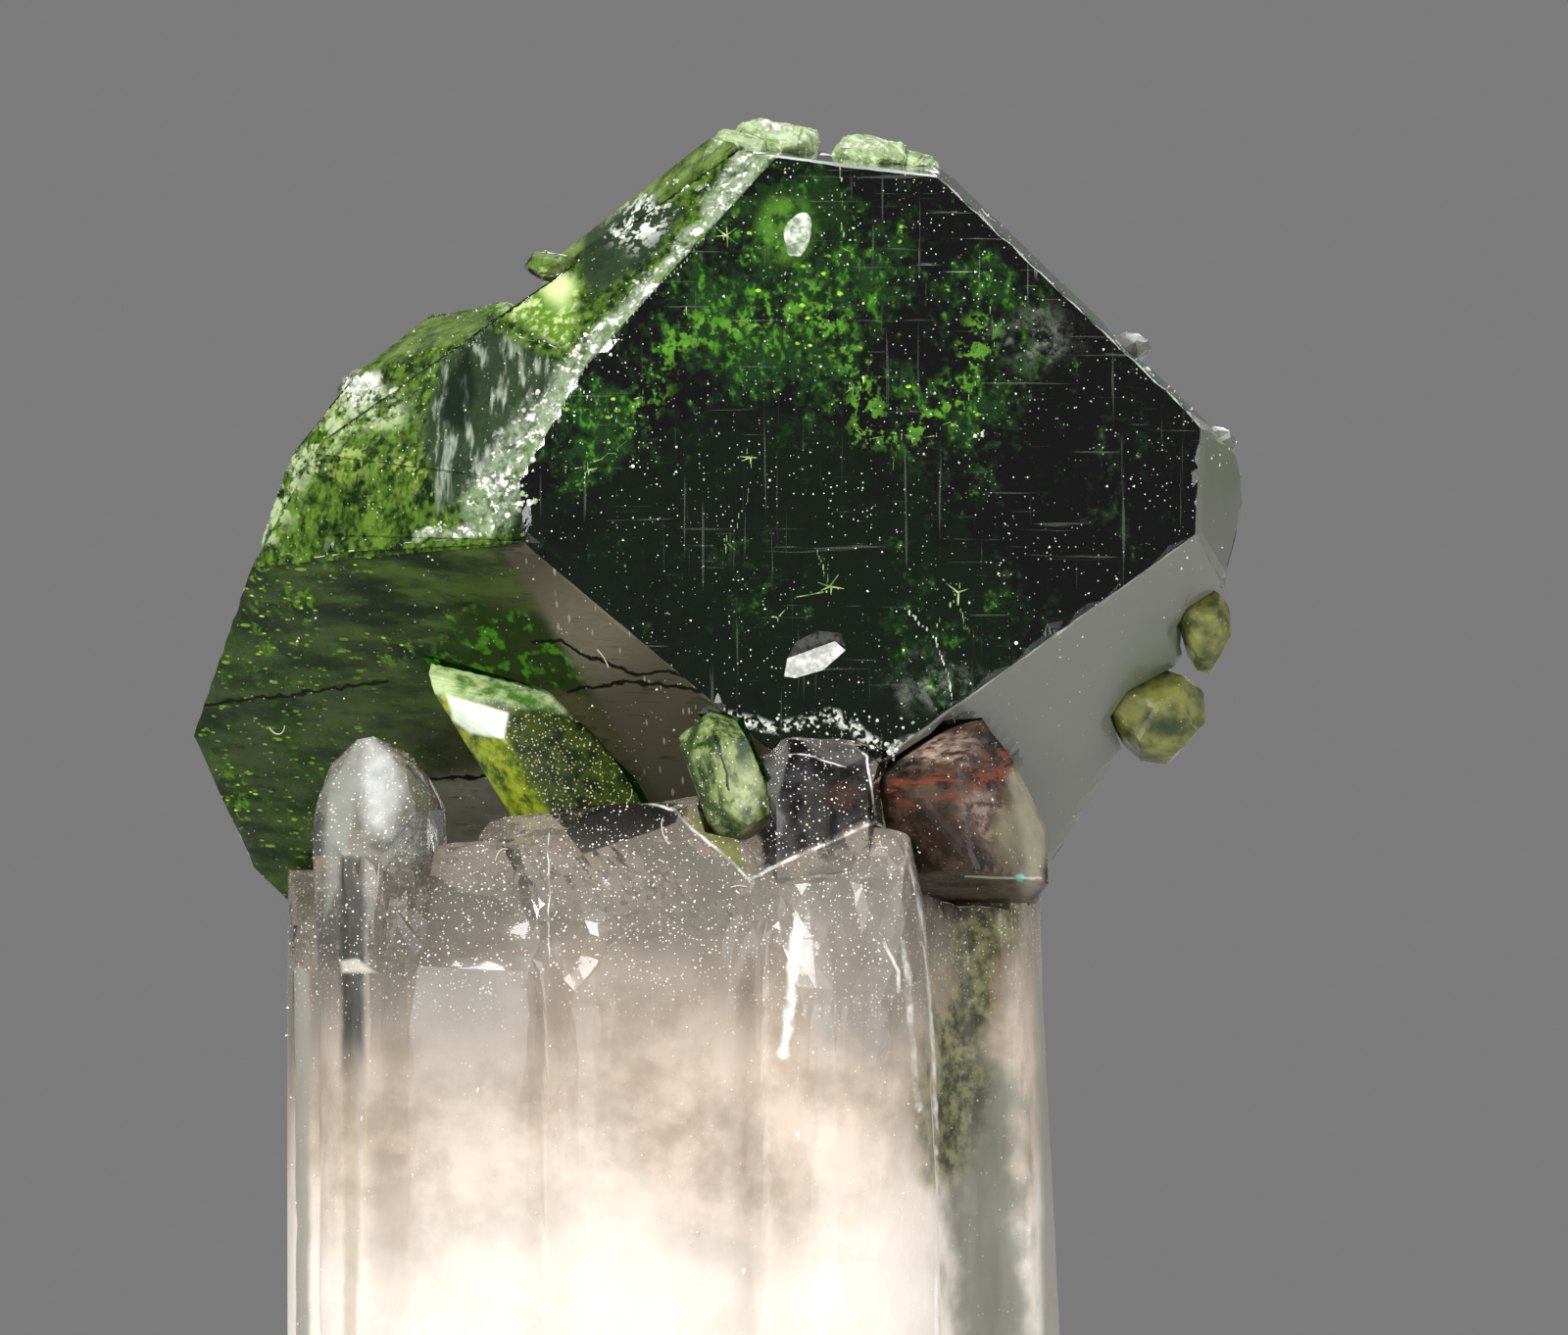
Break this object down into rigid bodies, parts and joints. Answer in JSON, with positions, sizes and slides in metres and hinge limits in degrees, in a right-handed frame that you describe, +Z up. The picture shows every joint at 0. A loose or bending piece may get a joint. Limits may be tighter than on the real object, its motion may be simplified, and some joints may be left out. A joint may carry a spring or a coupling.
{
  "type": "fluor-uvite crystal on quartz",
  "caption": "Dark green flat-faced tourmaline crystal with smaller crystals, grown on a cluster of clear quartz prisms cut flat below.",
  "frame": {"origin": "centre of the bounding box in X and Y, on the flat cut that the cluster stands on", "axes": "+Z up along the quartz prisms, the viewer of the picture looks along +Y, +X to the right"},
  "size_m": [0.013, 0.01, 0.0173],
  "materials": {
    "green_crystal": "vitreous, dark green, bright green at thin edges",
    "light_green_crystal": "vitreous, translucent yellow-green",
    "clear_quartz": "clear to milky, with dust on the tips",
    "iron_stained": "translucent, stained red-brown"
  },
  "bodies": {
    "root": {"main_uvite": "green_crystal", "small_uvite_left": "light_green_crystal", "small_uvite_centre": "light_green_crystal", "small_uvite_right_upper": "light_green_crystal", "small_uvite_right_lower": "light_green_crystal", "quartz_cluster": "clear_quartz", "brown_crystal": "iron_stained"}
  },
  "joints": []
}
